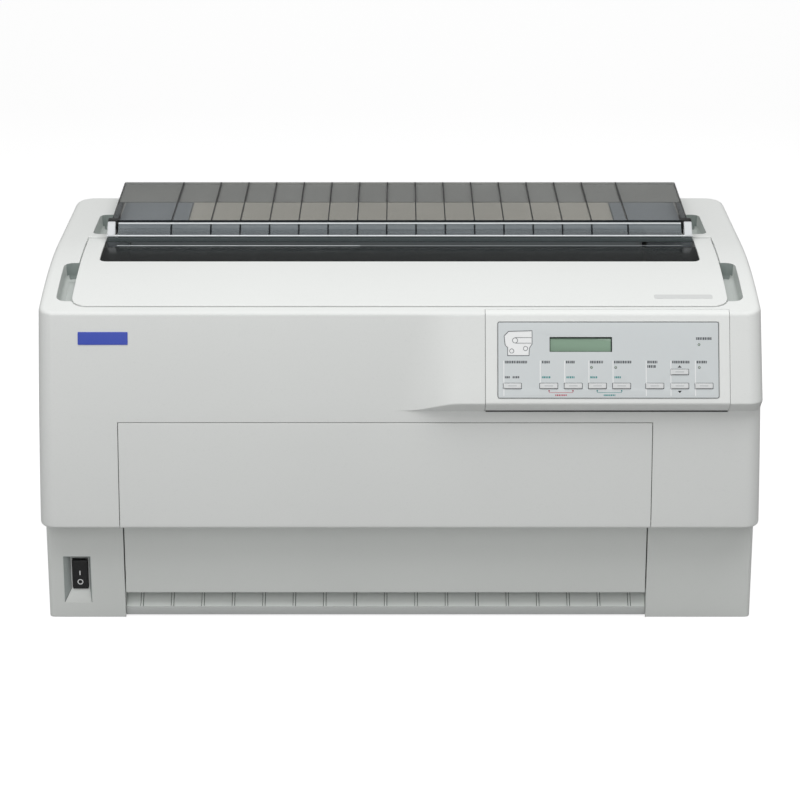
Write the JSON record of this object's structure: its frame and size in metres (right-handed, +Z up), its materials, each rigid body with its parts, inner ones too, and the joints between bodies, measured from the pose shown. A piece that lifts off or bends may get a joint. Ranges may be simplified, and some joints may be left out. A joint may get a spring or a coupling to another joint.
{
  "type": "dot matrix printer",
  "caption": "Wide-carriage desktop dot matrix printer with hinged covers, sloping key panel, front and rear paper tractors and a sliding print carriage.",
  "frame": {"origin": "on the desk under the middle of the casing", "axes": "+X to the right as the operator faces the front, +Y to the back, +Z up"},
  "size_m": [0.7, 0.382, 0.3596],
  "materials": {
    "badge": "plain blue plate",
    "base_casing": "fine-grained grey moulding",
    "black_plastic": "black moulding",
    "casing": "fine-grained light grey moulding",
    "cast_head": "finned cast aluminium",
    "circuit": "green circuit board",
    "clear_edge": "clear moulding with a polished edge",
    "dark_plastic": "dark grey moulding",
    "display": "green liquid crystal display",
    "ground_steel": "ground steel bar",
    "key_cap": "smooth light grey key",
    "overlay": "printed blue-grey film",
    "paper_guide": "warm grey moulding",
    "rubber": "black rubber",
    "silver_cap": "bright silver-grey moulding",
    "smoked": "smoked clear moulding",
    "steel": "zinc-plated sheet steel"
  },
  "bodies": {
    "chassis": {"lower_housing": "base_casing", "upper_housing": "casing", "entry_guide": "base_casing", "exit_guide": "paper_guide", "panel_bezel": "casing", "panel_overlay": "overlay", "lcd_module": "display", "panel_board": "circuit", "badge_plate": "badge", "switch_surround": "base_casing", "rubber_feet": "rubber", "power_inlet": "black_plastic", "interface_ports": "steel", "base_plate": "steel", "side_frame_left": "steel", "side_frame_right": "steel", "guide_rods": "ground_steel", "carriage_belt": "rubber", "carriage_motor": "dark_plastic", "ribbon_cartridge": "black_plastic", "feed_motor": "dark_plastic", "feed_belt": "rubber", "power_supply": "steel", "main_board": "circuit", "fan_frame": "black_plastic"},
    "printer_cover": {"printer_cover": "casing", "cover_window": "smoked"},
    "output_cover": {"output_cover": "smoked", "tear_bar": "clear_edge", "cover_end_caps": "silver_cap"},
    "front_cover": {"front_cover": "casing"},
    "rear_cover": {"rear_cover": "casing"},
    "switch_rocker": {"switch_rocker": "black_plastic"},
    "platen": {"platen": "rubber"},
    "carriage": {"carriage": "black_plastic", "print_head": "cast_head"},
    "drive_pulley": {"drive_pulley": "steel"},
    "idler_pulley": {"idler_pulley": "steel"},
    "ribbon_knob": {"ribbon_knob": "dark_plastic"},
    "front_feed_shaft": {"front_feed_shaft": "steel"},
    "rear_feed_shaft": {"rear_feed_shaft": "steel"},
    "feed_pulley": {"feed_pulley": "steel"},
    "fan_rotor": {"fan_rotor": "dark_plastic"},
    "key_tractor": {"key_tractor": "key_cap"},
    "key_font": {"key_font": "key_cap"},
    "key_pitch": {"key_pitch": "key_cap"},
    "key_tear_off": {"key_tear_off": "key_cap"},
    "key_top_of_form": {"key_top_of_form": "key_cap"},
    "key_line_feed": {"key_line_feed": "key_cap"},
    "key_feed_up": {"key_feed_up": "key_cap"},
    "key_feed_down": {"key_feed_down": "key_cap"},
    "key_pause": {"key_pause": "key_cap"},
    "front_tractor_left": {"front_tractor_left": "dark_plastic"},
    "front_flap_left": {"front_flap_left": "dark_plastic"},
    "front_tractor_right": {"front_tractor_right": "dark_plastic"},
    "front_flap_right": {"front_flap_right": "dark_plastic"},
    "rear_tractor_left": {"rear_tractor_left": "dark_plastic"},
    "rear_flap_left": {"rear_flap_left": "dark_plastic"},
    "rear_tractor_right": {"rear_tractor_right": "dark_plastic"},
    "rear_flap_right": {"rear_flap_right": "dark_plastic"}
  },
  "joints": [
    {"name": "printer_cover_hinge", "type": "hinge", "parent": "chassis", "child": "printer_cover", "pos_m": [0, 0.021, 0.334], "axis": [-1, 0, 0], "range_deg": [0, 78]},
    {"name": "output_cover_hinge", "type": "hinge", "parent": "chassis", "child": "output_cover", "pos_m": [0, 0.18, 0.347], "axis": [-1, 0, 0], "range_deg": [0, 85]},
    {"name": "front_cover_hinge", "type": "hinge", "parent": "chassis", "child": "front_cover", "pos_m": [-0.014, -0.155, 0.032], "axis": [1, 0, 0], "range_deg": [0, 80]},
    {"name": "rear_cover_hinge", "type": "hinge", "parent": "chassis", "child": "rear_cover", "pos_m": [-0.014, 0.188, 0.169], "axis": [-1, 0, 0], "range_deg": [0, 85]},
    {"name": "switch_rocker_hinge", "type": "hinge", "parent": "chassis", "child": "switch_rocker", "pos_m": [-0.3163, -0.153, 0.0454], "axis": [-1, 0, 0], "range_deg": [0, 14]},
    {"name": "key_tractor_press", "type": "slide", "parent": "chassis", "child": "key_tractor", "axis": [0, 0.9201, -0.3917], "range_m": [0, 0.001], "stiffness_N_per_m": 300},
    {"name": "key_font_press", "type": "slide", "parent": "chassis", "child": "key_font", "axis": [0, 0.9201, -0.3917], "range_m": [0, 0.001], "stiffness_N_per_m": 300},
    {"name": "key_pitch_press", "type": "slide", "parent": "chassis", "child": "key_pitch", "axis": [0, 0.9201, -0.3917], "range_m": [0, 0.001], "stiffness_N_per_m": 300},
    {"name": "key_tear_off_press", "type": "slide", "parent": "chassis", "child": "key_tear_off", "axis": [0, 0.9201, -0.3917], "range_m": [0, 0.001], "stiffness_N_per_m": 300},
    {"name": "key_top_of_form_press", "type": "slide", "parent": "chassis", "child": "key_top_of_form", "axis": [0, 0.9201, -0.3917], "range_m": [0, 0.001], "stiffness_N_per_m": 300},
    {"name": "key_line_feed_press", "type": "slide", "parent": "chassis", "child": "key_line_feed", "axis": [0, 0.9201, -0.3917], "range_m": [0, 0.001], "stiffness_N_per_m": 300},
    {"name": "key_feed_up_press", "type": "slide", "parent": "chassis", "child": "key_feed_up", "axis": [0, 0.9201, -0.3917], "range_m": [0, 0.001], "stiffness_N_per_m": 300},
    {"name": "key_feed_down_press", "type": "slide", "parent": "chassis", "child": "key_feed_down", "axis": [0, 0.9201, -0.3917], "range_m": [0, 0.001], "stiffness_N_per_m": 300},
    {"name": "key_pause_press", "type": "slide", "parent": "chassis", "child": "key_pause", "axis": [0, 0.9201, -0.3917], "range_m": [0, 0.001], "stiffness_N_per_m": 300},
    {"name": "carriage_slide", "type": "slide", "parent": "chassis", "child": "carriage", "axis": [1, 0, 0], "range_m": [-0.165, 0.165]},
    {"name": "drive_pulley_spin", "type": "hinge", "parent": "chassis", "child": "drive_pulley", "pos_m": [-0.254, -0.039, 0.233], "axis": [0, 0, 1], "range_deg": [-730, 730]},
    {"name": "idler_pulley_spin", "type": "hinge", "parent": "chassis", "child": "idler_pulley", "pos_m": [0.226, -0.039, 0.233], "axis": [0, 0, 1], "range_deg": [-730, 730]},
    {"name": "platen_spin", "type": "hinge", "parent": "chassis", "child": "platen", "pos_m": [0, 0.014, 0.29], "axis": [1, 0, 0], "continuous": true},
    {"name": "front_feed_spin", "type": "hinge", "parent": "chassis", "child": "front_feed_shaft", "pos_m": [0, -0.103, 0.118], "axis": [1, 0, 0], "continuous": true},
    {"name": "rear_feed_spin", "type": "hinge", "parent": "chassis", "child": "rear_feed_shaft", "pos_m": [0, 0.127, 0.19], "axis": [1, 0, 0], "continuous": true},
    {"name": "feed_pulley_spin", "type": "hinge", "parent": "chassis", "child": "feed_pulley", "pos_m": [0.26, 0.044, 0.095], "axis": [1, 0, 0], "continuous": true},
    {"name": "ribbon_knob_turn", "type": "hinge", "parent": "chassis", "child": "ribbon_knob", "pos_m": [-0.214, -0.1, 0.312], "axis": [0, 0, 1], "continuous": true},
    {"name": "fan_spin", "type": "hinge", "parent": "chassis", "child": "fan_rotor", "pos_m": [0.3, 0.169, 0.052], "axis": [0, 1, 0], "continuous": true},
    {"name": "front_tractor_left_slide", "type": "slide", "parent": "chassis", "child": "front_tractor_left", "axis": [1, 0, 0], "range_m": [-0.01, 0.06]},
    {"name": "front_flap_left_hinge", "type": "hinge", "parent": "front_tractor_left", "child": "front_flap_left", "pos_m": [-0.2325, -0.1172, 0.143], "axis": [0, 0, -1], "range_deg": [0, 100]},
    {"name": "front_tractor_right_slide", "type": "slide", "parent": "chassis", "child": "front_tractor_right", "axis": [1, 0, 0], "range_m": [-0.15, 0.01]},
    {"name": "front_flap_right_hinge", "type": "hinge", "parent": "front_tractor_right", "child": "front_flap_right", "pos_m": [0.2045, -0.1172, 0.143], "axis": [0, 0, 1], "range_deg": [0, 100]},
    {"name": "rear_tractor_left_slide", "type": "slide", "parent": "chassis", "child": "rear_tractor_left", "axis": [1, 0, 0], "range_m": [-0.01, 0.06]},
    {"name": "rear_flap_left_hinge", "type": "hinge", "parent": "rear_tractor_left", "child": "rear_flap_left", "pos_m": [-0.2325, 0.1412, 0.215], "axis": [0, 0, 1], "range_deg": [0, 100]},
    {"name": "rear_tractor_right_slide", "type": "slide", "parent": "chassis", "child": "rear_tractor_right", "axis": [1, 0, 0], "range_m": [-0.15, 0.01]},
    {"name": "rear_flap_right_hinge", "type": "hinge", "parent": "rear_tractor_right", "child": "rear_flap_right", "pos_m": [0.2045, 0.1412, 0.215], "axis": [0, 0, -1], "range_deg": [0, 100]}
  ],
  "couplings": [
    {"joint": "drive_pulley_spin", "follows": "carriage_slide", "rad_per_m": 76.628},
    {"joint": "idler_pulley_spin", "follows": "carriage_slide", "rad_per_m": 76.628},
    {"joint": "front_feed_spin", "follows": "platen_spin", "ratio": 1.3077},
    {"joint": "rear_feed_spin", "follows": "platen_spin", "ratio": 1.3077},
    {"joint": "feed_pulley_spin", "follows": "platen_spin", "ratio": 1.7}
  ]
}
